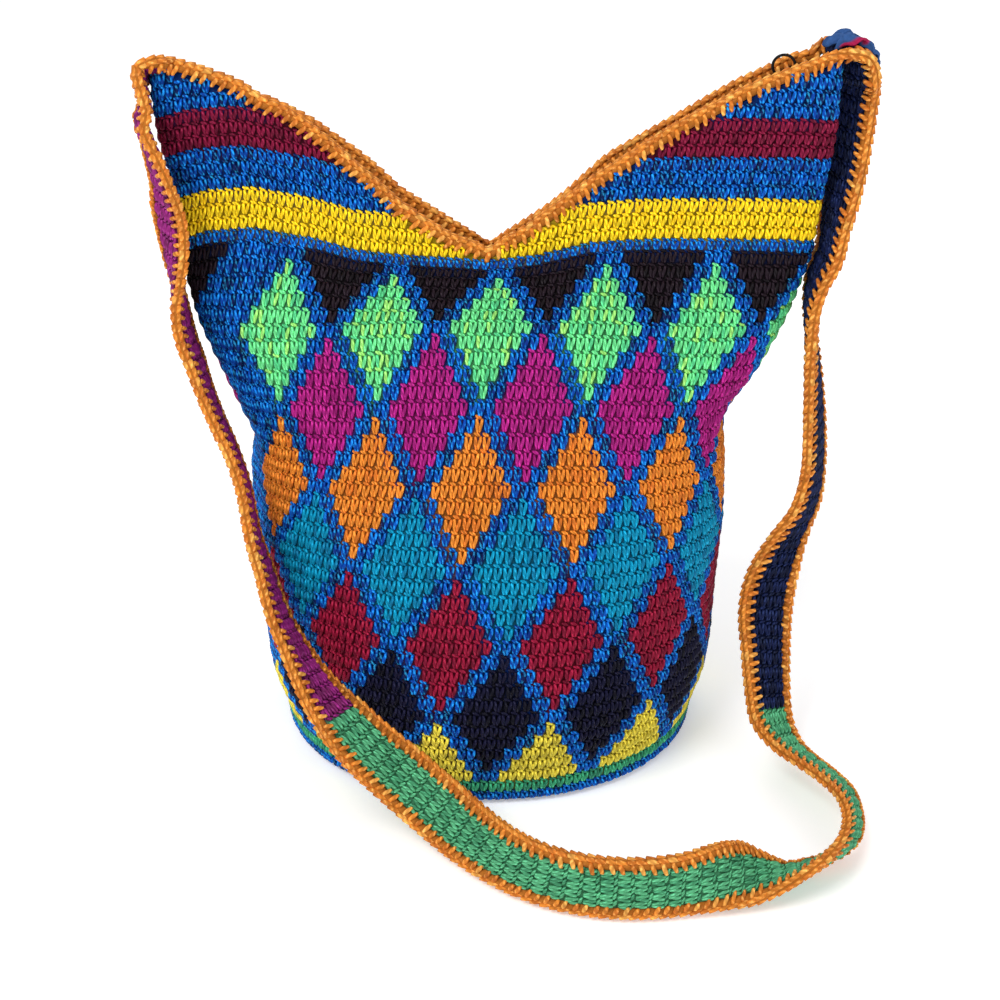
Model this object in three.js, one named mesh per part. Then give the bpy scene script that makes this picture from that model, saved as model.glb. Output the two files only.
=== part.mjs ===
// A crocheted purse that stands on its round base, with its strap lying in a loop in front of it.
// Millimetres, +Z up, -Y is the front, and the origin is the middle of the base's underside.
import * as THREE from 'three';

// Driving dimensions
const stitchesAround = 150;
const stitchesPerColumn = 3;
const wallThickness = 4.5;
const baseThickness = 5;
const seatGap = 0.3;
const edgingWidth = 7.5;
const edgingThickness = 5.5;
const edgingSides = 6;
const borderGap = 0.9;
const bandWidth = 18.7;
const bandThickness = 4.5;
const strapClearance = 1.2;
const strapStepsPerPoint = 1.5;
const freeStations = 10;
const loopRadius = 5.2;
const loopCord = 1.4;
const loopShare = 0.8;
const loopShows = -0.1;
const clothThickness = 2;
const clothWidth = 17;
const clothStart = 3;
const clothLength = 7;
const mouthShare = 0.9;
const bridgeRise = 2.5;
const bridgeSwing = 2;
const skippedPoints = 3;
const seatPasses = 3;
const searchPasses = 16;
const outerRowStep = 2.5;
const innerRows = [1, 5, 10, 17.5, 22.5, 27.5, 32.5, 37.5, 42.5, 47.5];
const rimSnap = 0.35;
const diamondFill = 0.7;

// Yarn colours
const yarn = {
  blue: 0x1248a8,
  green: 0x3ca578,
  yellow: 0xf0cd28,
  burgundy: 0x7d1437,
  orange: 0xd7823c,
  magenta: 0xaa2382,
  teal: 0x008ca5,
  crimson: 0x961437,
  navy: 0x12122d,
  mint: 0x5fcd82,
  black: 0x1e121c,
  denim: 0x3c5f96,
};

// The wall by crochet rows: height at the sides and at the front, half widths, half depth and squareness
const wallRows = [
  { row: 0, side: 0, front: 0, right: 107, left: 107, depth: 96, square: 2.1 },
  { row: 2.5, side: 16, front: 18, right: 109, left: 109, depth: 99, square: 2.1 },
  { row: 5, side: 33, front: 38, right: 115, left: 115, depth: 104, square: 2.1 },
  { row: 7.5, side: 50, front: 57, right: 117, left: 117, depth: 106, square: 2.1 },
  { row: 12.5, side: 85, front: 96, right: 118, left: 118, depth: 102, square: 2.1 },
  { row: 17.5, side: 120, front: 135, right: 120.5, left: 121, depth: 96, square: 2.1 },
  { row: 22.5, side: 155, front: 170, right: 119.5, left: 121, depth: 78, square: 2.2 },
  { row: 25, side: 170, front: 187, right: 119.5, left: 121, depth: 69, square: 2.3 },
  { row: 27.5, side: 190, front: 205, right: 127, left: 127.5, depth: 59, square: 2.5 },
  { row: 32.5, side: 228, front: 240, right: 146, left: 143, depth: 41, square: 2.8 },
  { row: 37.5, side: 263, front: 257, right: 157, left: 150, depth: 16, square: 3.5 },
  { row: 39, side: 272, front: 262, right: 158, left: 151, depth: 13, square: 4 },
  { row: 42, side: 293, front: 283, right: 160, left: 150, depth: 13, square: 4 },
  { row: 45, side: 314, front: 304, right: 163, left: 155, depth: 13, square: 4 },
  { row: 48, side: 333, front: 323, right: 165, left: 158, depth: 14, square: 4 },
  { row: 53, side: 370, front: 360, right: 165, left: 159, depth: 14, square: 4 },
];
const columnDrift = 0.22;
const driftMiddleRow = 22.5;

// The upper rows wave: how much higher or lower they lie at each share of the way from the middle to the side
const waveFromRow = 33;
const waveFullRow = 38;
const rowWave = [
  { share: 0, left: -1, right: -1 },
  { share: 0.14, left: 0, right: 1 },
  { share: 0.3, left: 1, right: 7 },
  { share: 0.43, left: 2.5, right: 7.5 },
  { share: 0.55, left: 7, right: 7 },
  { share: 0.75, left: 10, right: 4 },
  { share: 0.9, left: 5, right: 0.5 },
  { share: 1, left: -3, right: -4 },
];

// Where the wall ends: the rim's height at distances from the middle, on the front and back of either side
const rimHeights = {
  frontLeft: [[0, 262], [18, 268], [34, 278], [46, 287], [57, 298], [70, 309.5], [80, 320], [89, 327], [98, 334],
    [110, 339], [119, 346], [133, 351.5], [148, 355.5], [159, 347.5]],
  frontRight: [[0, 262], [18, 272], [36, 286], [49, 296.5], [61.5, 305.5], [75, 314.5], [85, 322], [100, 331],
    [114, 338.5], [126, 345], [139, 350], [151, 354.5], [161, 356.5], [165, 355.5]],
  backLeft: [[0, 254], [46, 285], [62, 301], [90, 322], [110, 332], [133, 339.5], [148, 343], [159, 347.5]],
  backRight: [[0, 254], [36, 279], [61, 303], [87, 318.6], [102, 328], [112, 334], [119, 338.5], [127, 342.5],
    [134, 346], [142, 351], [150, 354], [158, 355.5], [165, 355.5]],
};

// Value of a key between the two entries of a list that lie around a place
function between(list, placeKey, place, key) {
  let upper = list.findIndex((entry) => entry[placeKey] >= place);
  if (upper === -1) upper = list.length - 1;
  const lower = Math.max(upper - 1, 0);
  const a = list[lower];
  const b = list[upper];
  const span = b[placeKey] - a[placeKey];
  const share = span === 0 ? 0 : THREE.MathUtils.clamp((place - a[placeKey]) / span, 0, 1);
  return THREE.MathUtils.lerp(a[key], b[key], share);
}

const wallAt = (row, key) => between(wallRows, 'row', row, key);

// A quarter of a superellipse, walked by equal lengths: share 0 is front or back, share 1 is the side
function quarterPoint(halfWidth, halfDepth, square, share) {
  const steps = 60;
  const power = 2 / square;
  const points = [];
  for (let i = 0; i <= steps; i += 1) {
    const angle = (i / steps) * Math.PI / 2;
    points.push([halfWidth * Math.sin(angle) ** power, halfDepth * Math.max(Math.cos(angle), 0) ** power]);
  }
  const lengths = [0];
  for (let i = 1; i <= steps; i += 1) {
    const step = Math.hypot(points[i][0] - points[i - 1][0], points[i][1] - points[i - 1][1]);
    lengths.push(lengths[i - 1] + step);
  }
  const target = share * lengths[steps];
  let i = 1;
  while (i < steps && lengths[i] < target) i += 1;
  const part = (target - lengths[i - 1]) / (lengths[i] - lengths[i - 1]);
  return points[i].map((value, axis) => THREE.MathUtils.lerp(points[i - 1][axis], value, part));
}

// How far round a stitch lies: which side of the purse, and its share from front or back to that side
function placeAround(stitch) {
  const turn = ((stitch / stitchesAround) % 1 + 1) % 1;
  const right = turn < 0.5;
  const half = right ? turn * 2 : (1 - turn) * 2;
  const front = half < 0.5;
  return { right, front, share: front ? half * 2 : (1 - half) * 2 };
}

// A point of the wall. The inset moves it inwards, through the wall's thickness
function wallPoint(stitch, row, inset = 0) {
  const place = placeAround(stitch);
  const halfWidth = wallAt(row, place.right ? 'right' : 'left') - inset;
  const halfDepth = wallAt(row, 'depth') - inset;
  const [across, deep] = quarterPoint(halfWidth, halfDepth, wallAt(row, 'square'), place.share);
  const sideShare = (across / halfWidth) ** 2;
  const wave = between(rowWave, 'share', Math.sqrt(sideShare), place.right ? 'right' : 'left');
  const waveShare = THREE.MathUtils.clamp((row - waveFromRow) / (waveFullRow - waveFromRow), 0, 1);
  const height = THREE.MathUtils.lerp(wallAt(row, 'front'), wallAt(row, 'side'), sideShare) + wave * waveShare;
  return new THREE.Vector3(place.right ? across : -across, place.front ? -deep : deep, height);
}

const columns = stitchesAround / stitchesPerColumn;
const columnStitch = (column, row) => column * stitchesPerColumn + columnDrift * (row - driftMiddleRow);

// Height of the rim beside a point of the wall
function rimHeight(point, place) {
  const list = rimHeights[(place.front ? 'front' : 'back') + (place.right ? 'Right' : 'Left')];
  return between(list, 0, Math.abs(point.x), 1);
}

// The last row of a column: where the column, followed upwards, reaches the rim's height
function columnRim(column) {
  let low = waveFromRow;
  let high = wallRows.at(-1).row;
  for (let pass = 0; pass < searchPasses; pass += 1) {
    const row = (low + high) / 2;
    const stitch = columnStitch(column, row);
    const point = wallPoint(stitch, row, wallThickness / 2);
    if (point.z < rimHeight(point, placeAround(stitch))) low = row;
    else high = row;
  }
  return low;
}

// Diamonds stand on a lattice: six stitches across and five rows up from one to the next
const latticeStitches = 6;
const latticeRows = 5;
const firstLatticeRow = 2;
const firstLatticeStitch = -2;
const latticeYarns = ['yellow', 'navy', 'crimson', 'teal', 'orange', 'magenta', 'mint', 'black'];
const bands = [
  { from: 39, to: 41.5, yarn: 'yellow' },
  { from: 44.5, to: 47.5, yarn: 'burgundy' },
];

function yarnAt(stitch, row) {
  if (row < firstLatticeRow) return row > 0.5 ? 'green' : 'blue';
  const band = bands.find((entry) => row >= entry.from && row <= entry.to);
  if (band) return band.yarn;
  const step = Math.round((row - firstLatticeRow) / latticeRows);
  if (step >= latticeYarns.length) return 'blue';
  const up = row - firstLatticeRow - step * latticeRows;
  const shift = firstLatticeStitch + (step % 2) * latticeStitches;
  const pitch = latticeStitches * 2;
  const across = stitch - shift - Math.round((stitch - shift) / pitch) * pitch;
  const inside = Math.abs(across) / latticeStitches + Math.abs(up) / latticeRows < diamondFill;
  return inside ? latticeYarns[step] : 'blue';
}

// A closed mesh from corner lists; triangles with a doubled corner are dropped
function closedMesh(name, corners, faces, material, colours) {
  const kept = faces.filter(([a, b, c]) => a !== b && b !== c && c !== a);
  const geometry = new THREE.BufferGeometry();
  geometry.setAttribute('position', new THREE.Float32BufferAttribute(corners.flatMap((p) => [p.x, p.y, p.z]), 3));
  if (colours) geometry.setAttribute('color', new THREE.Float32BufferAttribute(colours, 3));
  geometry.setIndex(kept.flat());
  geometry.computeVertexNormals();
  const mesh = new THREE.Mesh(geometry, material);
  mesh.name = name;
  return mesh;
}

// The purse itself: an outer and an inner skin joined along the rim, and a flat double base
function makeBody() {
  const corners = [];
  const colours = [];
  const faces = [];
  const add = (point, name) => {
    corners.push(point);
    const colour = new THREE.Color(yarn[name]);
    colours.push(colour.r, colour.g, colour.b);
    return corners.length - 1;
  };
  // One skin: rows of corner numbers, where a column that has reached the rim repeats its last corner
  const skin = (levels, inset, floorHeight) => {
    const rims = Array.from({ length: columns }, (_, column) => columnRim(column));
    const rows = [];
    const topOf = new Array(columns).fill(null);
    levels.forEach((level, step) => {
      rows.push(rims.map((rim, column) => {
        if (topOf[column] !== null) return topOf[column];
        const next = levels[step + 1] ?? Infinity;
        const atRim = next > rim && rim - level < rimSnap * (next - level);
        const row = atRim || level >= rim ? rim : level;
        const point = wallPoint(columnStitch(column, row), row, inset);
        point.z = Math.max(point.z, floorHeight);
        const corner = add(point, yarnAt(column * stitchesPerColumn, row));
        if (row === rim) topOf[column] = corner;
        return corner;
      }));
    });
    return rows;
  };
  const join = (lower, upper, outwards) => {
    for (let c = 0; c < columns; c += 1) {
      const d = (c + 1) % columns;
      const quad = [[lower[c], lower[d], upper[d]], [lower[c], upper[d], upper[c]]];
      quad.forEach((face) => faces.push(outwards ? face : face.toReversed()));
    }
  };
  const outerLevels = [];
  for (let row = 0; row < wallRows.at(-1).row; row += outerRowStep) outerLevels.push(row);
  outerLevels.push(wallRows.at(-1).row);
  const innerLevels = [...innerRows, wallRows.at(-1).row];
  const outer = skin(outerLevels, 0, 0);
  const inner = skin(innerLevels, wallThickness, baseThickness);
  outer.slice(1).forEach((row, i) => join(outer[i], row, true));
  inner.slice(1).forEach((row, i) => join(inner[i], row, false));
  join(outer.at(-1), inner.at(-1), true);
  const underside = add(new THREE.Vector3(0, 0, 0), 'blue');
  const floor = add(new THREE.Vector3(0, 0, baseThickness), 'blue');
  for (let c = 0; c < columns; c += 1) {
    const d = (c + 1) % columns;
    faces.push([underside, outer[0][d], outer[0][c]]);
    faces.push([floor, inner[0][c], inner[0][d]]);
  }
  const material = new THREE.MeshStandardMaterial({ vertexColors: true, roughness: 0.95, metalness: 0 });
  return closedMesh('bag_body', corners, faces, material, colours);
}

// How far outside the wall a point lies, as a direction away from the purse and a length
function outsideWall(point) {
  let low = 0;
  let high = wallRows.at(-1).row;
  const side = point.x > 0 ? 'right' : 'left';
  for (let pass = 0; pass < searchPasses; pass += 1) {
    const row = (low + high) / 2;
    const sideShare = Math.min((point.x / wallAt(row, side)) ** 2, 1);
    const height = THREE.MathUtils.lerp(wallAt(row, 'front'), wallAt(row, 'side'), sideShare);
    if (height < point.z) low = row;
    else high = row;
  }
  const square = wallAt(low, 'square');
  const a = wallAt(low, side);
  const b = wallAt(low, 'depth');
  const reach = (Math.abs(point.x / a) ** square + Math.abs(point.y / b) ** square) ** (1 / square);
  const slope = new THREE.Vector3(point.x / a ** 2, point.y / b ** 2, 0);
  const distance = (reach - 1) * Math.hypot(point.x, point.y) / Math.max(reach, 0.01);
  const outwards = slope.clone().normalize();
  const radial = new THREE.Vector3(point.x, point.y, 0).normalize();
  return { outwards, distance: distance * Math.abs(outwards.dot(radial)) };
}

// The strap's front edge from the left peak round to the right peak, with the lean of the band at each point
const halfReach = (bandWidth + edgingWidth) / 2 + borderGap;
const strapRoute = [
  [-155.8, -12.2, 356.4, 0, -0.87, 0.5],
  [-156.5, -12.2, 359, 0, -0.87, 0.5],
  [-158.8, -12.3, 360.8, 0, -0.87, 0.5],
  [-161.8, -12.8, 359.3, 0, -0.87, 0.48],
  [-163, -13.4, 354.8, 0.05, -0.89, 0.44],
  [-161, -17, 348, 0.12, -0.94, 0.32],
  [-158, -24, 339.5, 0.2, -0.97, 0.16],
  [-154, -29, 327, 0.28, -0.96, 0.05],
  [-149.5, -29, 315, 0.38, -0.92, 0],
  [-146, -28.5, 301, 0.46, -0.89, 0],
  [-144, -28.5, 287, 0.56, -0.83, 0],
  [-142.5, -30.5, 274, 0.48, -0.88, 0],
  [-144.5, -32.5, 261, 0.3, -0.95, 0.08],
  [-148.5, -34, 248, 0.06, -0.98, 0.15],
  [-149, -38, 234, -0.04, -0.97, 0.2],
  [-144, -42, 220, -0.04, -0.96, 0.26],
  [-138, -48, 205, 0, -0.95, 0.3],
  [-131, -54, 190, 0.02, -0.94, 0.32],
  [-124, -60, 176, 0.04, -0.94, 0.34],
  [-119, -67, 160, 0.02, -0.93, 0.37],
  [-116, -74, 142, 0, -0.92, 0.38],
  [-111, -81, 125, -0.08, -0.91, 0.41],
  [-105, -88, 109, -0.15, -0.89, 0.43],
  [-97, -101, 94, -0.25, -0.88, 0.4],
  [-88, -114, 76, -0.45, -0.85, 0.25],
  [-77, -120, 59, -0.6, -0.79, -0.05],
  [-64, -124, 41, -0.64, -0.72, -0.27],
  [-49, -126, 23, -0.61, -0.62, -0.48],
  [-32, -133, 10, -0.57, -0.4, -0.72],
  [-16, -146, 5, -0.5, -0.2, -0.84],
  [0, -161, 4, -0.4, -0.1, -0.91],
  [23, -176, 4, -0.2, -0.08, -0.97],
  [47, -184, 4, -0.05, -0.1, -0.99],
  [68, -186, 4, 0, -0.1, -0.99],
  [90, -184, 4, 0, -0.15, -0.98],
  [106, -182, 5, 0, -0.4, -0.92],
  [118, -181, 6, 0, -0.8, -0.6],
  [129, -179.5, 9, 0, -0.99, -0.1],
  [142, -176, 14, -0.08, -0.92, 0.38],
  [155, -170, 20, -0.2, -0.81, 0.55],
  [167, -158, 24, -0.38, -0.72, 0.58],
  [173, -138, 25, -0.37, -0.69, 0.62],
  [170, -116, 24, -0.4, -0.75, 0.53],
  [158, -96, 23, -0.36, -0.8, 0.48],
  [145, -80, 24, -0.52, -0.74, 0.42],
  [136.5, -67, 29, -0.69, -0.64, 0.33],
  [134, -57, 40, -0.74, -0.58, 0.33],
  [132, -48, 58, -0.8, -0.5, 0.33],
  [130, -41, 82, -0.87, -0.4, 0.27],
  [133, -38, 99, -0.86, -0.46, 0.22],
  [141, -36, 116, -0.72, -0.65, 0.24],
  [153, -34, 134, -0.55, -0.82, 0.18],
  [158, -31, 152, -0.42, -0.9, 0.12],
  [158, -30, 176, -0.36, -0.93, 0.06],
  [157, -28, 203, -0.25, -0.97, 0.02],
  [157, -26, 226, -0.08, -0.99, 0],
  [158.5, -24, 245, 0.04, -1, 0],
  [165, -22, 265, 0.18, -0.98, 0],
  [171.5, -17, 286, 0.36, -0.93, 0],
  [176.5, -12, 304, 0.52, -0.85, 0],
  [179, -8.5, 320, 0.6, -0.8, 0],
  [180.5, -6.5, 337, 0.62, -0.78, 0],
  [180.5, -7.5, 348, 0.55, -0.83, 0.03],
  [178.7, -9.5, 357, 0.45, -0.89, 0.06],
  [175.4, -11.5, 362.3, 0.35, -0.93, 0.1],
  [171.2, -12.8, 364.2, 0.3, -0.95, 0.1],
  [168.2, -13.3, 363, 0.3, -0.95, 0.1],
  [166.9, -13.4, 360.7, 0.3, -0.95, 0.1],
  [166.9, -13.4, 359.1, 0.3, -0.95, 0.1],
];

// Places along the strap: middle, lean across the band, and the direction through the band
function strapStations() {
  const middles = strapRoute.map(([x, y, z, i, j, k]) => {
    const lean = new THREE.Vector3(i, j, k).normalize();
    return new THREE.Vector3(x, y, z).addScaledVector(lean, -halfReach);
  });
  const leans = strapRoute.map(([, , , i, j, k]) => new THREE.Vector3(i, j, k).normalize());
  const path = new THREE.CatmullRomCurve3(middles);
  const leanPath = new THREE.CatmullRomCurve3(leans);
  const count = Math.round(strapRoute.length * strapStepsPerPoint);
  const stations = [];
  for (let i = 0; i <= count; i += 1) {
    const share = i / count;
    stations.push({ middle: path.getPoint(share), lean: leanPath.getPoint(share).normalize() });
  }
  seatOnSurroundings(stations);
  stations.forEach((station, i) => {
    const before = stations[Math.max(i - 1, 0)].middle;
    const after = stations[Math.min(i + 1, stations.length - 1)].middle;
    station.along = after.clone().sub(before).normalize();
    station.through = station.along.clone().cross(station.lean).normalize();
  });
  return stations;
}

// Moves places out of the wall and up to the surface, so that the strap only touches what it lies on
function seatOnSurroundings(stations) {
  const halfThickness = Math.max(bandThickness, edgingThickness) / 2;
  stations.forEach((station, i) => {
    const { middle, lean } = station;
    const edge = halfReach + edgingWidth / 2;
    const inMiddle = i >= freeStations && i < stations.length - freeStations;
    for (let pass = 0; inMiddle && pass < seatPasses; pass += 1) {
      [-edge, -edge / 2, 0, edge / 2, edge].forEach((reach) => {
        const { outwards, distance } = outsideWall(middle.clone().addScaledVector(lean, reach));
        const missing = strapClearance + halfThickness - distance;
        if (missing > 0) middle.addScaledVector(outwards, missing);
      });
    }
    const lowest = middle.z - Math.abs(lean.z) * edge - Math.sqrt(1 - lean.z ** 2) * halfThickness;
    if (lowest < 0) middle.z -= lowest;
  });
}

// A closed bar through stations, each with a ring of corners; a loop has no ends
function barMesh(name, rings, material, isLoop) {
  const sides = rings[0].length;
  const corners = rings.flat();
  const faces = [];
  const last = isLoop ? rings.length : rings.length - 1;
  for (let i = 0; i < last; i += 1) {
    const j = (i + 1) % rings.length;
    for (let s = 0; s < sides; s += 1) {
      const t = (s + 1) % sides;
      faces.push([i * sides + s, i * sides + t, j * sides + t]);
      faces.push([i * sides + s, j * sides + t, j * sides + s]);
    }
  }
  if (!isLoop) {
    const end = (rings.length - 1) * sides;
    for (let s = 1; s < sides - 1; s += 1) {
      faces.push([0, s + 1, s]);
      faces.push([end, end + s, end + s + 1]);
    }
  }
  return closedMesh(name, corners, faces, material);
}

// Corners across the bar: width goes along the lean, thickness along the direction through it
function sectionRing(station, offset, width, thickness, outline) {
  return outline.map(([u, v]) => station.middle.clone()
    .addScaledVector(station.lean, offset + u * width / 2)
    .addScaledVector(station.through, v * thickness / 2));
}

const boxOutline = [[-1, -1], [1, -1], [1, 1], [-1, 1]];
const roundOutline = Array.from({ length: edgingSides }, (_, side) => {
  const angle = (side / edgingSides) * Math.PI * 2;
  return [Math.cos(angle), Math.sin(angle)];
});

function makeStrap(stations) {
  const rings = stations.map((station) => sectionRing(station, 0, bandWidth, bandThickness, boxOutline));
  const material = new THREE.MeshStandardMaterial({ color: yarn.magenta, roughness: 0.95, metalness: 0 });
  return barMesh('strap', rings, material, false);
}

// Middle of the wall's thickness at the rim, at the top of a column
function rimPlace(column) {
  const row = columnRim(column);
  return wallPoint(columnStitch(column, row), row, wallThickness / 2);
}

// How far the columns have drifted round by the top row
const rimDrift = columnDrift * (wallRows.at(-1).row - driftMiddleRow);

// One border: along the mouth from the left peak to the right one, then back along the strap's edge
function makeEdging(name, face, stations) {
  const middle = face < 0 ? 0 : stitchesAround / 2;
  const reach = mouthShare * stitchesAround / 4;
  const rim = [];
  const first = Math.ceil((middle - reach - rimDrift) / stitchesPerColumn);
  const last = Math.floor((middle + reach - rimDrift) / stitchesPerColumn);
  for (let column = first; column <= last; column += 1) rim.push(rimPlace(column));
  if (face > 0) rim.reverse();
  const seat = edgingWidth / 2 + seatGap;
  const rings = rim.map((point, i) => {
    const along = rim[Math.min(i + 1, rim.length - 1)].clone().sub(rim[Math.max(i - 1, 0)]).normalize();
    const up = new THREE.Vector3(0, 0, 1).addScaledVector(along, -along.z).normalize();
    const through = along.clone().cross(up).normalize();
    return { middle: point.clone().addScaledVector(up, seat), lean: up, through };
  });
  const skipped = Math.ceil(skippedPoints * strapStepsPerPoint);
  const strapPart = stations.slice(skipped, stations.length - skipped).map((station) => ({
    middle: station.middle.clone().addScaledVector(station.lean, face < 0 ? halfReach : -halfReach),
    lean: station.lean.clone().multiplyScalar(face < 0 ? 1 : -1),
    through: station.through.clone().multiplyScalar(face < 0 ? 1 : -1),
  }));
  // The walk goes on from the right peak down the strap, so the strap's places are taken backwards
  const back = strapPart.toReversed().map((place) => ({ ...place, through: place.through.clone().negate() }));
  const bridge = (from, to) => [1 / 3, 2 / 3].map((share) => {
    const middle = from.middle.clone().lerp(to.middle, share);
    middle.z += bridgeRise * Math.sin(Math.PI * share);
    middle.y += face * bridgeSwing * Math.sin(Math.PI * share);
    const lean = from.lean.clone().lerp(to.lean, share).normalize();
    return { middle, lean, through: from.through.clone().lerp(to.through, share).normalize() };
  });
  const walk = [...rings, ...bridge(rings.at(-1), back[0]), ...back, ...bridge(back.at(-1), rings[0])];
  const sections = walk.map((place) => sectionRing(place, 0, edgingWidth, edgingThickness, roundOutline));
  const material = new THREE.MeshStandardMaterial({ color: yarn.orange, roughness: 0.95, metalness: 0 });
  return barMesh(name, sections, material, true);
}

// The small cord loop stands behind the front edging on the right slope
function makeBlackLoop() {
  const point = rimPlace(Math.round((loopShare * stitchesAround / 4 - rimDrift) / stitchesPerColumn));
  const geometry = new THREE.TorusGeometry(loopRadius, loopCord / 2, 6, 20);
  const material = new THREE.MeshStandardMaterial({ color: yarn.black, roughness: 0.8, metalness: 0 });
  const mesh = new THREE.Mesh(geometry, material);
  mesh.name = 'black_loop';
  mesh.rotation.x = Math.PI / 2;
  const behind = edgingThickness / 2 + loopCord / 2 + seatGap;
  mesh.position.set(point.x, point.y + behind, point.z + seatGap + edgingWidth + loopRadius * loopShows);
  return mesh;
}

// The scrap's ridge: where it runs, how high it stands, how much it ripples, and the height of the inner edge
const ridgePlace = -0.2;
const ridgeRise = 1.5;
const rippleShare = 0.35;
const rippleStep = 1.9;
const innerRise = 0.8;

// A scrap of cloth comes out of the mouth and lies over the strap's bend at the right peak
function makeCloth(stations) {
  const end = stations.length - clothStart;
  const under = stations.slice(end - clothLength, end);
  const lift = bandThickness / 2 + borderGap;
  const rings = under.map((station, i) => {
    const ripple = 1 + rippleShare * Math.sin(i * rippleStep);
    const outline = [[-1, 0], [1, 0], [1, 1], [ridgePlace, ridgeRise * ripple], [-1, innerRise]];
    return outline.map(([u, v]) => station.middle.clone()
      .addScaledVector(station.lean, u * clothWidth / 2)
      .addScaledVector(station.through, lift + v * clothThickness));
  });
  const material = new THREE.MeshStandardMaterial({ color: yarn.denim, roughness: 0.9, metalness: 0 });
  return barMesh('blue_cloth', rings, material, false);
}

const stations = strapStations();
const purse = new THREE.Group();
purse.add(makeBody());
purse.add(makeStrap(stations));
purse.add(makeEdging('front_edging', -1, stations));
purse.add(makeEdging('back_edging', 1, stations));
purse.add(makeBlackLoop());
purse.add(makeCloth(stations));

export default purse;
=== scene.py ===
# %% [markdown]
# A crocheted purse
#
# The purse is worked in the round from thick cotton: a round base, a wall with small diamonds, two stripes,
# and two high side peaks with a V between them. A long strap runs from peak to peak and lies in a loop in
# front. Crochet is a surface of many like stitches, so one stitch is modelled once and repeated.

# %% Open the frame
import math

import bmesh
import bpy
import numpy as np
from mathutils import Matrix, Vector


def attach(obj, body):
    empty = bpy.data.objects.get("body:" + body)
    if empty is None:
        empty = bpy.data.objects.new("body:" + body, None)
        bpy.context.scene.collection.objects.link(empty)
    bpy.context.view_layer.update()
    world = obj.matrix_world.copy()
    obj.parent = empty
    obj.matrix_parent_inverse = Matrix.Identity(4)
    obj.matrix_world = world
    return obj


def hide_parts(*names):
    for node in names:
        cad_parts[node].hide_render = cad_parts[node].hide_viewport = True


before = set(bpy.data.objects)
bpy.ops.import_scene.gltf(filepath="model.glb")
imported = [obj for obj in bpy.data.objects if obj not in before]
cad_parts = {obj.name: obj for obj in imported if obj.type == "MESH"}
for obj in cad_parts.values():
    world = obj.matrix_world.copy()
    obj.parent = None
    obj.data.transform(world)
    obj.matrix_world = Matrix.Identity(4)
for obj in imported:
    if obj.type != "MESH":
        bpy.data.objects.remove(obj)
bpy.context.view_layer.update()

MM = 0.001
rng = np.random.default_rng(7)

# %% [markdown]
# The camera stands a little over a metre away and looks down at 28 degrees, about as in the photo. A long
# lens keeps the sides nearly parallel, and a small shift of the lens moves the picture without turning it.

# %% Camera
CAMERA_AIM = Vector((0, 0, 150)) * MM
CAMERA_DISTANCE = 1.1
CAMERA_ELEVATION = math.radians(28)
CAMERA_LENS = 77.2
LENS_SHIFT = (0.011, -0.0477)
camera_data = bpy.data.cameras.new("camera")
camera_data.lens = CAMERA_LENS
camera_data.sensor_width = 36
camera_data.shift_x, camera_data.shift_y = LENS_SHIFT
camera = bpy.data.objects.new("camera", camera_data)
bpy.context.scene.collection.objects.link(camera)
back = Vector((0, -math.cos(CAMERA_ELEVATION), math.sin(CAMERA_ELEVATION)))
camera.location = CAMERA_AIM + back * CAMERA_DISTANCE
camera.rotation_euler = (math.pi / 2 - CAMERA_ELEVATION, 0, 0)
bpy.context.scene.camera = camera
bpy.context.scene.view_settings.view_transform = "Standard"

# %% [markdown]
# Soft studio light: one large lamp above on the left, a weaker one on the right and a pale world. The
# lamps are big, so the shadows between the stitches stay soft.

# %% Lights and world
def add_lamp(name, place, size, watts):
    """An area lamp that points at the middle of the purse."""
    data = bpy.data.lights.new(name, "AREA")
    data.shape = "DISK"
    data.size = size
    data.energy = watts
    lamp = bpy.data.objects.new(name, data)
    lamp.location = place
    lamp.rotation_euler = (CAMERA_AIM - Vector(place)).to_track_quat("-Z", "Y").to_euler()
    bpy.context.scene.collection.objects.link(lamp)


add_lamp("key", (-0.7, -0.9, 1.5), 0.9, 17)
add_lamp("fill", (1.2, -0.9, 0.8), 1.2, 5)
add_lamp("rim", (0.3, 1.2, 1.3), 1.0, 6)

world = bpy.data.worlds.new("studio")
world.use_nodes = True
bpy.context.scene.world = world
world_nodes = world.node_tree.nodes
world_links = world.node_tree.links
ambient = world_nodes["Background"]
ambient.inputs["Color"].default_value = (1, 1, 1, 1)
ambient.inputs["Strength"].default_value = 0.55
seen = world_nodes.new("ShaderNodeBackground")
seen.inputs["Color"].default_value = (1, 1, 1, 1)
seen.inputs["Strength"].default_value = 1.0
rays = world_nodes.new("ShaderNodeLightPath")
pick = world_nodes.new("ShaderNodeMixShader")
world_links.new(rays.outputs["Is Camera Ray"], pick.inputs["Fac"])
world_links.new(ambient.outputs[0], pick.inputs[1])
world_links.new(seen.outputs[0], pick.inputs[2])
world_links.new(pick.outputs[0], world_nodes["World Output"].inputs["Surface"])

# %% [markdown]
# Materials are written as sums. A small class wraps a socket, so that Python's operators add Math nodes,
# and one method adds any other node.

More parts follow.
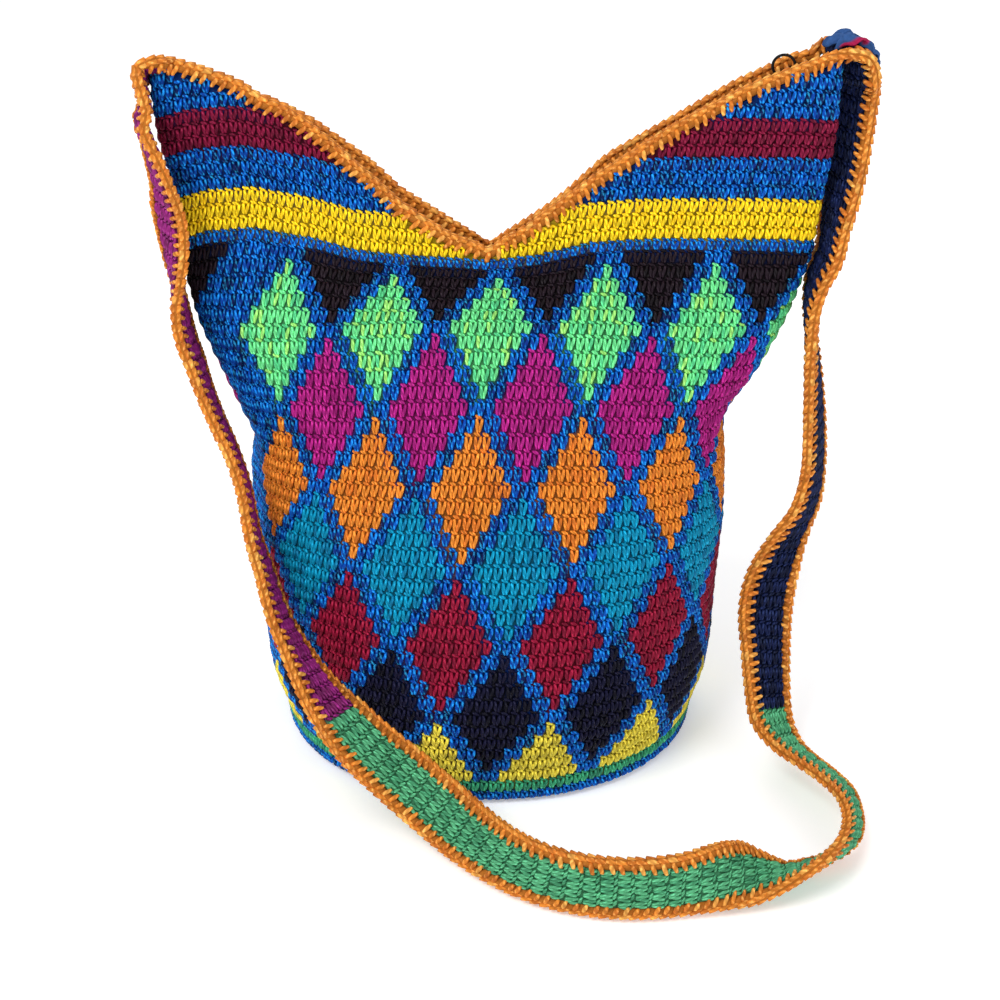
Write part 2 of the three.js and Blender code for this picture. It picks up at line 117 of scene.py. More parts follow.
# %% Shader helper
class Socket:
    """A node socket with Python's operators; each operator adds one Math node."""

    def __init__(self, tree, out):
        self.tree = tree
        self.out = out

    def maths(self, operation, other, swapped=False):
        node = self.tree.nodes.new("ShaderNodeMath")
        node.operation = operation
        terms = (other, self) if swapped else (self, other)
        for socket, term in zip(node.inputs, terms):
            connect(self.tree, term, socket)
        return Socket(self.tree, node.outputs[0])

    def __add__(self, other):
        return self.maths("ADD", other)

    def __radd__(self, other):
        return self.maths("ADD", other, True)

    def __sub__(self, other):
        return self.maths("SUBTRACT", other)

    def __rsub__(self, other):
        return self.maths("SUBTRACT", other, True)

    def __mul__(self, other):
        return self.maths("MULTIPLY", other)

    def __rmul__(self, other):
        return self.maths("MULTIPLY", other, True)

    def sine(self):
        return self.maths("SINE", 0.0)


def connect(tree, value, socket):
    """Puts a number or a colour on a socket, or links another socket to it."""
    if isinstance(value, Socket):
        tree.links.new(value.out, socket)
    elif value is not None:
        socket.default_value = value


def add_node(tree, kind, settings=None, output=0, **inputs):
    """Any node: its settings first, then the values or links of its sockets."""
    node = tree.nodes.new("ShaderNode" + kind)
    for key, value in (settings or {}).items():
        setattr(node, key, value)
    for key, value in inputs.items():
        connect(tree, value, node.inputs[key.replace("_", " ")])
    return Socket(tree, node.outputs[output])


def srgb(red, green, blue):
    """A screen colour from 0 to 255 as linear light."""
    levels = np.array((red, green, blue)) / 255
    return np.where(levels <= 0.04045, levels / 12.92, ((levels + 0.055) / 1.055) ** 2.4)


# %% [markdown]
# Each yarn has a middle colour and a few flecks, as in a cotton that is spun from several shades. A
# stitch leg takes one of them, so the fabric gets its mottled look from the stitches themselves.

# %% Yarns
YARNS = {
    "blue": [((0, 68, 168), 5), ((0, 48, 136), 3), ((4, 88, 192), 2), ((6, 26, 88), 1.3)],
    "base_green": [((60, 165, 120), 3), ((45, 130, 100), 1)],
    "bottom_yellow": [((236, 218, 74), 3), ((214, 196, 64), 1)],
    "navy": [((15, 15, 45), 3), ((9, 9, 26), 1)],
    "crimson": [((148, 18, 54), 3), ((118, 12, 44), 1)],
    "teal": [((0, 144, 184), 3), ((0, 118, 160), 1)],
    "orange": [((230, 138, 48), 3), ((214, 118, 40), 1)],
    "magenta": [((175, 32, 130), 3), ((150, 22, 110), 1)],
    "mint": [((112, 226, 146), 3), ((160, 232, 120), 0.7), ((88, 206, 138), 1)],
    "black": [((30, 18, 28), 3), ((18, 11, 18), 1)],
    "yellow": [((250, 214, 30), 4), ((244, 202, 24), 1)],
    "burgundy": [((128, 18, 56), 3), ((104, 13, 45), 1)],
    "edging": [((228, 138, 50), 3), ((212, 120, 42), 1.5), ((240, 166, 76), 0.8)],
    "strap_magenta": [((150, 38, 122), 3), ((122, 32, 95), 1.5)],
    "strap_green": [((92, 178, 128), 3), ((72, 152, 108), 1.5)],
    "strap_navy": [((18, 30, 74), 3), ((11, 19, 50), 1.5)],
}
YARN_NAMES = list(YARNS)


def leg_colours(yarn_numbers, copies):
    """A colour for each leg of each stitch, drawn from its yarn's shades."""
    colours = np.ones((len(yarn_numbers), copies, 4))
    for number, name in enumerate(YARN_NAMES):
        rows = np.flatnonzero(yarn_numbers == number)
        shades = np.array([srgb(*shade) for shade, _ in YARNS[name]])
        weights = np.array([weight for _, weight in YARNS[name]])
        picks = rng.choice(len(shades), size=(len(rows), copies), p=weights / weights.sum())
        colours[rows, :, :3] = shades[picks] * rng.uniform(0.88, 1.12, (len(rows), copies, 1))
    return colours


# %% [markdown]
# The wall is described by its crochet rows: how high a row lies at the sides and at the front, how wide
# and how deep it is, and how square its outline. A stitch's place is then a place around and a row
# number, and the same two numbers place every stitch, the fabric under it and the border on top.

# %% Wall shape
STITCHES_AROUND = 150
COLUMN_DRIFT = 0.22
DRIFT_MIDDLE_ROW = 22.5
WALL_THICKNESS = 4.5
TOP_ROW = 53
WALL_ROWS = np.array([
    # row, side height, front height, half width right, half width left, half depth, squareness
    (0, 0, 0, 107, 107, 96, 2.1),
    (2.5, 16, 18, 109, 109, 99, 2.1),
    (5, 33, 38, 115, 115, 104, 2.1),
    (7.5, 50, 57, 117, 117, 106, 2.1),
    (12.5, 85, 96, 118, 118, 102, 2.1),
    (17.5, 120, 135, 120.5, 121, 96, 2.1),
    (22.5, 155, 170, 119.5, 121, 78, 2.2),
    (25, 170, 187, 119.5, 121, 69, 2.3),
    (27.5, 190, 205, 127, 127.5, 59, 2.5),
    (32.5, 228, 240, 146, 143, 41, 2.8),
    (37.5, 263, 257, 157, 150, 16, 3.5),
    (39, 272, 262, 158, 151, 13, 4),
    (42, 293, 283, 160, 150, 13, 4),
    (45, 314, 304, 163, 155, 13, 4),
    (48, 333, 323, 165, 158, 14, 4),
    (53, 370, 360, 165, 159, 14, 4),
])
WAVE_SHARES = (0, 0.14, 0.3, 0.43, 0.55, 0.75, 0.9, 1)
WAVE_LEFT = (-1, 0, 1, 2.5, 7, 10, 5, -3)
WAVE_RIGHT = (-1, 1, 7, 7.5, 7, 4, 0.5, -4)
WAVE_ROWS = (33, 38)
# The rim's height at distances from the middle, by front or back and by right or left
RIM_HEIGHTS = {
    (True, False): ((0, 262), (18, 268), (34, 278), (46, 287), (57, 298), (70, 309.5), (80, 320), (89, 327),
                    (98, 334), (110, 339), (119, 346), (133, 351.5), (148, 355.5), (159, 347.5)),
    (True, True): ((0, 262), (18, 272), (36, 286), (49, 296.5), (61.5, 305.5), (75, 314.5), (85, 322),
                   (100, 331), (114, 338.5), (126, 345), (139, 350), (151, 354.5), (161, 356.5),
                   (165, 355.5)),
    (False, False): ((0, 254), (46, 285), (62, 301), (90, 322), (110, 332), (133, 339.5), (148, 343),
                     (159, 347.5)),
    (False, True): ((0, 254), (36, 279), (61, 303), (87, 318.6), (102, 328), (112, 334), (119, 338.5),
                    (127, 342.5), (134, 346), (142, 351), (150, 354), (158, 355.5), (165, 355.5)),
}
ROUNDED_ROWS = 0.8
ROW_STEP = 0.25
PLACE_STEP = 0.5


def listed_value(row, kind):
    """One size of the wall at any row, on the straight line between two rows of the list."""
    return np.interp(row, WALL_ROWS[:, 0], WALL_ROWS[:, kind])


def wall_values(row):
    """The wall's sizes at any row, from the list above, rounded off a little between its entries."""
    spread = np.linspace(-ROUNDED_ROWS, ROUNDED_ROWS, 5)
    return [np.mean([listed_value(row + step, kind) for step in spread]) for kind in range(1, 7)]


def quarter_outline(half_width, half_depth, square, shares):
    """Points of a quarter of the outline at equal lengths: share 0 is front or back, share 1 is the side."""
    angle = np.linspace(0, math.pi / 2, 241)
    across = half_width * np.sin(angle) ** (2 / square)
    deep = half_depth * np.clip(np.cos(angle), 0, 1) ** (2 / square)
    lengths = np.concatenate(([0], np.cumsum(np.hypot(np.diff(across), np.diff(deep)))))
    target = shares * lengths[-1]
    return np.interp(target, lengths, across), np.interp(target, lengths, deep)


def side_and_share(place):
    """Which side of the purse a place around lies on, and its share from front or back to that side."""
    turn = np.mod(place / STITCHES_AROUND, 1)
    right = turn < 0.5
    half = np.where(right, turn * 2, (1 - turn) * 2)
    front = half < 0.5
    return right, front, np.where(front, half * 2, (1 - half) * 2)


def wall_grid(inset):
    """The wall as a grid of points, rows by places around."""
    rows = np.arange(-1, TOP_ROW + 1 + ROW_STEP, ROW_STEP)
    places = np.arange(0, STITCHES_AROUND, PLACE_STEP)
    right, front, share = side_and_share(places)
    grid = np.zeros((len(rows), len(places), 3))
    for k, row in enumerate(rows):
        inner_row = min(max(row, 0), TOP_ROW)
        side_z, front_z, half_right, half_left, depth, square = wall_values(inner_row)
        for is_right, half_width in ((True, half_right), (False, half_left)):
            pick = right == is_right
            across, deep = quarter_outline(half_width - inset, depth - inset, square, share[pick])
            side_share = across / (half_width - inset)
            wave = np.interp(side_share, WAVE_SHARES, WAVE_RIGHT if is_right else WAVE_LEFT)
            wave_share = np.interp(row, WAVE_ROWS, (0, 1))
            rise = front_z + (side_z - front_z) * side_share ** 2 + wave * wave_share
            sign = 1 if is_right else -1
            grid[k, pick, 0] = sign * across
            grid[k, pick, 1] = np.where(front[pick], -deep, deep)
            grid[k, pick, 2] = rise + (row - inner_row) * 7
    return grid


def grid_normals(grid):
    """Outward directions of a grid of points."""
    up = np.gradient(grid, axis=0)
    around = (np.roll(grid, -1, axis=1) - np.roll(grid, 1, axis=1)) / 2
    normal = np.cross(around, up)
    return normal / np.linalg.norm(normal, axis=2, keepdims=True)


# Creases where the limp fabric folds inwards: place around, row, depth, and how far they reach around and up
CREASES = (
    (34, 25.5, 5.0, 3.0, 1.5),
    (31, 27.5, 3.0, 3.5, 1.2),
    (113.5, 24.5, 5.0, 3.0, 1.6),
    (118, 22.0, 2.5, 2.5, 3.0),
)


def creased(grid):
    """The grid with its creases pressed in."""
    normals = grid_normals(grid)
    rows = -1 + np.arange(grid.shape[0])[:, None] * ROW_STEP
    places = np.arange(grid.shape[1])[None, :] * PLACE_STEP
    for place, row, depth, around, up in CREASES:
        dent = depth * np.exp(-((places - place) / around) ** 2 - ((rows - row) / up) ** 2)
        grid = grid - normals * dent[:, :, None]
    return grid


outer_grid = creased(wall_grid(0))
outer_normals = grid_normals(outer_grid)


def sample(grid, place, row):
    """Values of a grid at any place around and any row, between its points."""
    u = np.mod(place, STITCHES_AROUND) / PLACE_STEP
    v = np.clip((row + 1) / ROW_STEP, 0, grid.shape[0] - 1.001)
    u0 = np.floor(u).astype(int) % grid.shape[1]
    v0 = np.floor(v).astype(int)
    u1 = (u0 + 1) % grid.shape[1]
    fu = (u - np.floor(u))[..., None]
    fv = (v - v0)[..., None]
    low = grid[v0, u0] * (1 - fu) + grid[v0, u1] * fu
    high = grid[v0 + 1, u0] * (1 - fu) + grid[v0 + 1, u1] * fu
    return low * (1 - fv) + high * fv


def wall_point(place, row, out):
    """Points of the wall in millimetres, raised off its outer face by out."""
    return sample(outer_grid, place, row) + sample(outer_normals, place, row) * np.asarray(out)[..., None]


def column_place(column, row):
    """Where a column of stitches stands at a row: columns lean a little as they go up."""
    return column + COLUMN_DRIFT * (row - DRIFT_MIDDLE_ROW)


def rim_rows_around():
    """The row at which the wall reaches the rim's height, at every place around."""
    places = np.arange(0, STITCHES_AROUND, PLACE_STEP)
    right, front, _ = side_and_share(places)
    rows = np.arange(WAVE_ROWS[0], TOP_ROW, 0.05)
    found = np.zeros(len(places))
    for k, place in enumerate(places):
        points = wall_point(np.full(len(rows), place), rows, np.full(len(rows), -WALL_THICKNESS / 2))
        heights = np.array(RIM_HEIGHTS[bool(front[k]), bool(right[k])])
        rim = np.interp(np.abs(points[:, 0]), heights[:, 0], heights[:, 1])
        above = np.flatnonzero(points[:, 2] >= rim)
        found[k] = rows[above[0]] if len(above) else TOP_ROW
    return places, found


RIM_PLACES, RIM_FOUND = rim_rows_around()


def rim_row(place):
    """The row at which the wall ends, at any place around."""
    return np.interp(np.mod(place, STITCHES_AROUND), RIM_PLACES, RIM_FOUND, period=STITCHES_AROUND)


print("wall grid", outer_grid.shape)

# %% [markdown]
# One crochet stitch shows as a V of two rounded legs with a small loop on top. Each strand starts as a
# sphere with few faces, because it is repeated thousands of times. It is stretched, tapered, leaned and
# arched.

# %% Stitch template
STRAND_FULLNESS = 0.6


class Strand:
    """A short piece of yarn: its corners and faces, and how far round and along the yarn each corner lies."""

    def __init__(self, half_length, half_width, half_depth, foot=0.0, head=0.0, arch=0.0,
                 segments=6, rings=4):
        mesh = bmesh.new()
        bmesh.ops.create_uvsphere(mesh, u_segments=segments, v_segments=rings, radius=1)
        mesh.verts.index_update()
        ball = np.array([corner.co[:] for corner in mesh.verts])
        self.faces = [[corner.index for corner in face.verts] for face in mesh.faces]
        mesh.free()
        along = ball[:, 2]
        radius = np.sqrt(np.clip(1 - along ** 2, 0, 1))
        fuller = np.maximum(radius, 1e-6) ** (STRAND_FULLNESS - 1)
        along = np.sign(along) * np.abs(along) ** STRAND_FULLNESS
        thick = fuller * (0.92 + 0.08 * along)
        across = ball[:, 0] * thick * half_width + foot + (head - foot) * (along + 1) / 2
        out = ball[:, 1] * thick * half_depth + arch * (1 - along ** 2)
        self.corners = np.stack([across, out, along * half_length], 1)
        self.turns = np.arctan2(ball[:, 0], ball[:, 1]) / (2 * math.pi) + 0.5
        self.along = (along + 1) / 2

    def moved(self, across, out, up):
        """The same strand with its corners somewhere else."""
        copy = object.__new__(Strand)
        copy.__dict__.update(self.__dict__)
        copy.corners = np.stack([across, out, up], 1)
        return copy

    def uvs(self, faces):
        """Around and along the yarn at every corner of every face."""
        found = []
        for face in faces:
            turns = self.turns[face]
            if turns.max() - turns.min() > 0.5:
                turns = np.where(turns < 0.5, turns + 1, turns)
            found.extend(zip(turns, self.along[face]))
        return np.array(found)


def outward_faces(corners, faces):
    """The faces in the order that makes them point out of the closed shape that the corners form."""
    volume = 0
    for face in faces:
        first = corners[face[0]]
        for second, third in zip(face[1:], face[2:]):
            volume += first @ np.cross(corners[second], corners[third])
    return faces if volume > 0 else [face[::-1] for face in faces]


def build_object(name, corners, faces, uvs, colours, material):
    """A mesh object in metres, with a colour at each corner. Faces come as loops and sizes or as a list."""
    if isinstance(faces, list):
        faces = np.concatenate([np.asarray(face, np.int32) for face in faces]), [len(face) for face in faces]
    loops, sizes = (np.asarray(values, np.int32) for values in faces)
    if uvs is None:
        uvs = np.zeros((len(loops), 2))
    mesh = bpy.data.meshes.new(name)
    mesh.vertices.add(len(corners))
    mesh.vertices.foreach_set("co", (corners * MM).astype(np.float32).ravel())
    mesh.loops.add(len(loops))
    mesh.loops.foreach_set("vertex_index", loops)
    mesh.polygons.add(len(sizes))
    mesh.polygons.foreach_set("loop_start", np.concatenate(([0], np.cumsum(sizes)[:-1])).astype(np.int32))
    mesh.update(calc_edges=True)
    mesh.polygons.foreach_set("use_smooth", np.ones(len(sizes), bool))
    mesh.uv_layers.new(name="yarn_uv").data.foreach_set("uv", uvs.astype(np.float32).ravel())
    layer = mesh.color_attributes.new("yarn_colour", "FLOAT_COLOR", "POINT")
    layer.data.foreach_set("color", colours.astype(np.float32).ravel())
    mesh.validate()
    mesh.materials.append(material)
    piece = bpy.data.objects.new(name, mesh)
    bpy.context.scene.collection.objects.link(piece)
    return piece


def repeat_strands(name, strands, place, count, colours, material):
    """One object with every strand of every stitch. place puts a strand's corners onto the fabric."""
    corners, loops, sizes, uvs, corner_colours = [], [], [], [], []
    offset = 0
    for number, strand in enumerate(strands):
        placed = place(strand.corners)
        faces = outward_faces(placed[0], strand.faces)
        starts = offset + np.arange(count) * len(strand.corners)
        loops.append((starts[:, None] + np.concatenate(faces)[None, :]).ravel())
        sizes.append(np.tile([len(face) for face in faces], count))
        corners.append(placed.reshape(-1, 3))
        uvs.append(np.tile(strand.uvs(faces), (count, 1)))
        corner_colours.append(np.repeat(colours[:, number], len(strand.corners), axis=0))
        offset += count * len(strand.corners)
    faces = np.concatenate(loops), np.concatenate(sizes)
    corners, uvs, corner_colours = (np.concatenate(parts) for parts in (corners, uvs, corner_colours))
    return build_object(name, corners, faces, uvs, corner_colours, material)


def dress(piece, node):
    """Hands a piece over: it rides the one body and replaces a solid, which is hidden."""
    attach(piece, "root")
    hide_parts(node)
    return piece


# %% [markdown]
# Cotton yarn is twisted from plies. The twist runs slantwise along each strand, so it is drawn from the
# strand's own coordinates as a bump, and as painted shade that darkens the colour between the plies. Where a
# ply would catch the light, painted highlights brighten the yarn in small lighter flecks.

# %% Yarn material
def vector_maths(tree, operation, first, second):
    """A Vector Math node, for sums with colours."""
    node = tree.nodes.new("ShaderNodeVectorMath")
    node.operation = operation
    connect(tree, first, node.inputs[0])
    connect(tree, second, node.inputs["Scale" if operation == "SCALE" else 1])
    return Socket(tree, node.outputs[0])


YARN_PLIES = 2.0
YARN_TWIST = 1.5


def yarn_material(name, highlight_tint=(0.03, 0.03, 0.03), highlight_gain=0.9, highlight_cutoff=1.45, roughness=0.55):
    """Cotton: the stitch's own colour, with painted shade between the plies and painted highlights in small
    flecks.
    """
    material = bpy.data.materials.new(name)
    material.use_nodes = True
    tree = material.node_tree
    shader = tree.nodes["Principled BSDF"]
    uv = add_node(tree, "UVMap", {"uv_map": "yarn_uv"})
    split = tree.nodes.new("ShaderNodeSeparateXYZ")
    connect(tree, uv, split.inputs[0])
    around = Socket(tree, split.outputs[0])
    along = Socket(tree, split.outputs[1])
    place = add_node(tree, "TexCoord", output=3)
    ply = ((around * YARN_PLIES + along * YARN_TWIST) * (2 * math.pi)).sine()
    fuzz = add_node(tree, "TexNoise", Vector=place, Scale=1100.0, Detail=2.0)
    shade = add_node(tree, "TexNoise", Vector=place, Scale=330.0, Detail=2.0)
    speckle = add_node(tree, "TexNoise", Vector=place, Scale=620.0, Detail=1.0)
    # Painted highlight: where a ply would catch the light and the noise is high, small flecks get brighter.
    lift = (ply * 0.45 + speckle * 2.6 - highlight_cutoff).maths("MAXIMUM", 0.0)
    colour = add_node(tree, "VertexColor", {"layer_name": "yarn_colour"})
    # The ply term is painted shade between the plies, the shade noise is the yarn's own mottling, and the
    # last term is the painted highlight.
    shaded = vector_maths(tree, "SCALE", colour, 0.56 + ply * 0.14 + shade * 0.66 + lift * highlight_gain)
    # The painted highlight also adds a lighter tint of its own.
    highlight_colour = vector_maths(tree, "SCALE", Vector(highlight_tint), lift)
    connect(tree, vector_maths(tree, "ADD", shaded, highlight_colour), shader.inputs["Base Color"])
    bump = tree.nodes.new("ShaderNodeBump")
    bump.inputs["Strength"].default_value = 0.6
    bump.inputs["Distance"].default_value = 0.35 * MM
    connect(tree, ply * 0.5 + fuzz * 0.6, bump.inputs["Height"])
    tree.links.new(bump.outputs[0], shader.inputs["Normal"])
    shader.inputs["Roughness"].default_value = roughness
    shader.inputs["Specular IOR Level"].default_value = 0.12
    return material


# Each yarn's painted highlights: a lighter tint added on the flecks, and how much they brighten its own
# colour.
blue_yarn = yarn_material("blue cotton", highlight_tint=(0.02, 0.34, 0.55), highlight_gain=0.3, highlight_cutoff=1.25)
pattern_cotton = yarn_material("pattern cotton", highlight_tint=(0.02, 0.02, 0.02))
# The fabric under the stitches gets its colour already darkened as painted shade, with a weak painted
# highlight.
ground_yarn = yarn_material("cotton between the stitches", highlight_gain=0.3, roughness=0.85)
edging_yarn = yarn_material("orange cotton", highlight_tint=(0.22, 0.25, 0.09), highlight_gain=0.2)
strap_yarn = yarn_material("strap cotton", highlight_tint=(0.02, 0.03, 0.05), highlight_gain=0.7)

# %% [markdown]
# The pattern is small diamonds on a lattice. Each is built row by row, 1, 3, 5, 7, 9 and back down, with blue
# between them. The 150 stitches modelled here don't divide by twelve, so the pattern jumps six stitches once,
# on the left, and leaves an upright strip of plain blue. The photograph shows some plain blue at that edge.

# %% Diamond pattern
FIRST_COLUMN = -2
LATTICE_YARNS = ("bottom_yellow", "navy", "crimson", "teal", "orange", "magenta", "mint", "black")
FIRST_DIAMOND_ROW = 2
ROWS_BETWEEN = 5
COLUMNS_BETWEEN = 6
DIAMOND_REACH = 4
JUMP_COLUMN = -28
STRIPES = {"yellow": range(39, 42), "burgundy": range(45, 48)}
LAST_PATTERN_ROW = 37


def pattern_yarn(column, row):
    """The yarn of one stitch by its column, counted from the front middle, and its row."""
    if row < FIRST_DIAMOND_ROW:
        return "base_green" if row == 1 else "blue"
    for name, rows in STRIPES.items():
        if row in rows:
            return name
    if row > LAST_PATTERN_ROW:
        return "blue"
    shifted = column - FIRST_COLUMN
    jumped = shifted < JUMP_COLUMN
    if jumped:
        shifted += COLUMNS_BETWEEN
    for step, name in enumerate(LATTICE_YARNS):
        up = abs(row - FIRST_DIAMOND_ROW - ROWS_BETWEEN * step)
        first = COLUMNS_BETWEEN * (step % 2)
        centre = first + 2 * COLUMNS_BETWEEN * round((shifted - first) / (2 * COLUMNS_BETWEEN))
        is_skipped = centre > JUMP_COLUMN - 1 if jumped else centre < JUMP_COLUMN
        if not is_skipped and abs(shifted - centre) + up <= DIAMOND_REACH:
            return name
    return "blue"


# %% Place the wall's stitches
STITCH_WIDTH = 4.6
ROW_HEIGHT = 7.6


def wall_stitches():
    """Column, row and yarn number of every stitch that the wall has."""
    found = []
    for row in range(TOP_ROW):
        for column in range(-75, 75):
            place = column_place(column, row + 0.5)
            if row + 0.6 < rim_row(place):
                found.append((column, row, YARN_NAMES.index(pattern_yarn(column, row))))
    return np.array(found)


stitches = wall_stitches()
print("wall stitches", len(stitches))


def stitch_strands():
    """Two legs that spread upwards, and the loop on top, which leans to the left."""
    strands = [Strand(3.3, 1.12, 1.2, foot=side * 0.5, head=side * 1.5, arch=0.6) for side in (-1, 1)]
    loop = Strand(1.9, 1.05, 1.1, segments=5, rings=4)
    up, out, across = loop.corners.T
    strands.append(loop.moved(across - 0.8, out + 0.05, up + 3.85 - across * 0.3))
    return strands


STITCH = stitch_strands()


def place_on_wall(columns, rows):
    """A function that lays a strand's corners onto the wall at every given stitch."""
    jitter_across = rng.normal(0, 0.13, len(columns))
    jitter_up = rng.normal(0, 0.2, len(columns))
    jitter_out = rng.normal(0, 0.15, len(columns))

    def place(corners):
        up = rows[:, None] + 0.5 + (corners[None, :, 2] + jitter_up[:, None]) / ROW_HEIGHT
        middle = column_place(columns, rows + 0.5)
        lean = COLUMN_DRIFT * (up - rows[:, None] - 0.5)
        around = middle[:, None] + lean + (corners[None, :, 0] + jitter_across[:, None]) / STITCH_WIDTH
        out = corners[None, :, 1] - 0.75 + jitter_out[:, None]
        return wall_point(around, up, np.broadcast_to(out, around.shape))

    return place


def add_wall_stitches(name, pick, material):
    """All stitches of one part of the wall."""
    chosen = stitches[pick]
    colours = leg_colours(chosen[:, 2], len(STITCH))
    place = place_on_wall(chosen[:, 0].astype(float), chosen[:, 1].astype(float))
    print(name, len(chosen), "stitches")
    return dress(repeat_strands(name, STITCH, place, len(chosen), colours, material), "bag_body")


is_blue = stitches[:, 2] == YARN_NAMES.index("blue")
BLUE_PARTS = {
    "blue_stitches_low": (0, 13),
    "blue_stitches_middle": (13, 27),
    "blue_stitches_high": (27, TOP_ROW),
}
PATTERN_PARTS = {"pattern_stitches_low": (0, 18), "pattern_stitches_high": (18, TOP_ROW)}
for name, (start, end) in BLUE_PARTS.items():
    add_wall_stitches(name, is_blue & (stitches[:, 1] >= start) & (stitches[:, 1] < end), blue_yarn)
for name, (start, end) in PATTERN_PARTS.items():
    add_wall_stitches(name, ~is_blue & (stitches[:, 1] >= start) & (stitches[:, 1] < end), pattern_cotton)

# %% [markdown]
# Under the legs lies the rest of the fabric: one closed shell with the wall's thickness, a flat base and
# an open mouth. It closes the small holes between the legs and carries the pattern darkened: painted shade
# for the gaps between the legs on the outer skin, and painted shade for the inside on the inner skin.

# %% Fabric under the stitches
def fabric_shell():
    """The closed shell: outer skin, rim, inner skin and a double base."""
    columns = np.arange(-75, 75)
    levels_out = np.arange(0, TOP_ROW + 1)
    corners, colours, faces = [], [], []

    def add_skin(inset, floor):
        rims = []
        for column in columns:
            row = TOP_ROW
            for _ in range(4):
                row = float(rim_row(np.array(column_place(column - 0.5, row))))
            rims.append(row)
        rims = np.array(rims)
        rows = []
        done = np.full(len(columns), -1)
        for level in levels_out:
            at_rim = (level + 0.4 >= rims) | (level == TOP_ROW)
            row = np.where(at_rim, rims, level)
            points = wall_point(column_place(columns - 0.5, row), row, np.full(len(columns), -inset))
            points[:, 2] = np.maximum(points[:, 2], floor)
            numbers = np.where(done >= 0, done, len(corners) + np.arange(len(columns)))
            corners.extend(points)
            for column, r in zip(columns, row):
                name = pattern_yarn(int(column), int(min(r, TOP_ROW - 1)))
                # Painted shade: the outer skin, seen in the gaps between the legs, takes 0.3 of the yarn's
                # colour, and the inner skin, painted shade for the inside, takes 0.7.
                shade = srgb(*YARNS[name][0][0]) * (0.3 if inset < 2 else 0.7)
                colours.append((*shade, 1))
            done = np.where(at_rim & (done < 0), numbers, done)
            rows.append(numbers)
        return rows

    def join(low, high, outwards):
        for c in range(len(columns)):
            d = (c + 1) % len(columns)
            quad = [int(low[c]), int(low[d]), int(high[d]), int(high[c])]
            ring = [corner for k, corner in enumerate(quad) if corner != quad[k - 1]]
            if len(ring) > 2:
                faces.append(ring if outwards else ring[::-1])

    outer = add_skin(1.0, 0.3)
    inner = add_skin(WALL_THICKNESS, 5.0)
    for low, high in zip(outer, outer[1:]):
        join(low, high, True)
    for low, high in zip(inner, inner[1:]):
        join(low, high, False)
    join(outer[-1], inner[-1], True)
    faces.append([int(c) for c in outer[0]][::-1])
    faces.append([int(c) for c in inner[0]])
    return np.array(corners), faces, np.array(colours)


shell_corners, shell_faces, shell_colours = fabric_shell()
shell = build_object("wall_fabric", shell_corners, shell_faces, None, shell_colours, ground_yarn)
dress(shell, "bag_body")
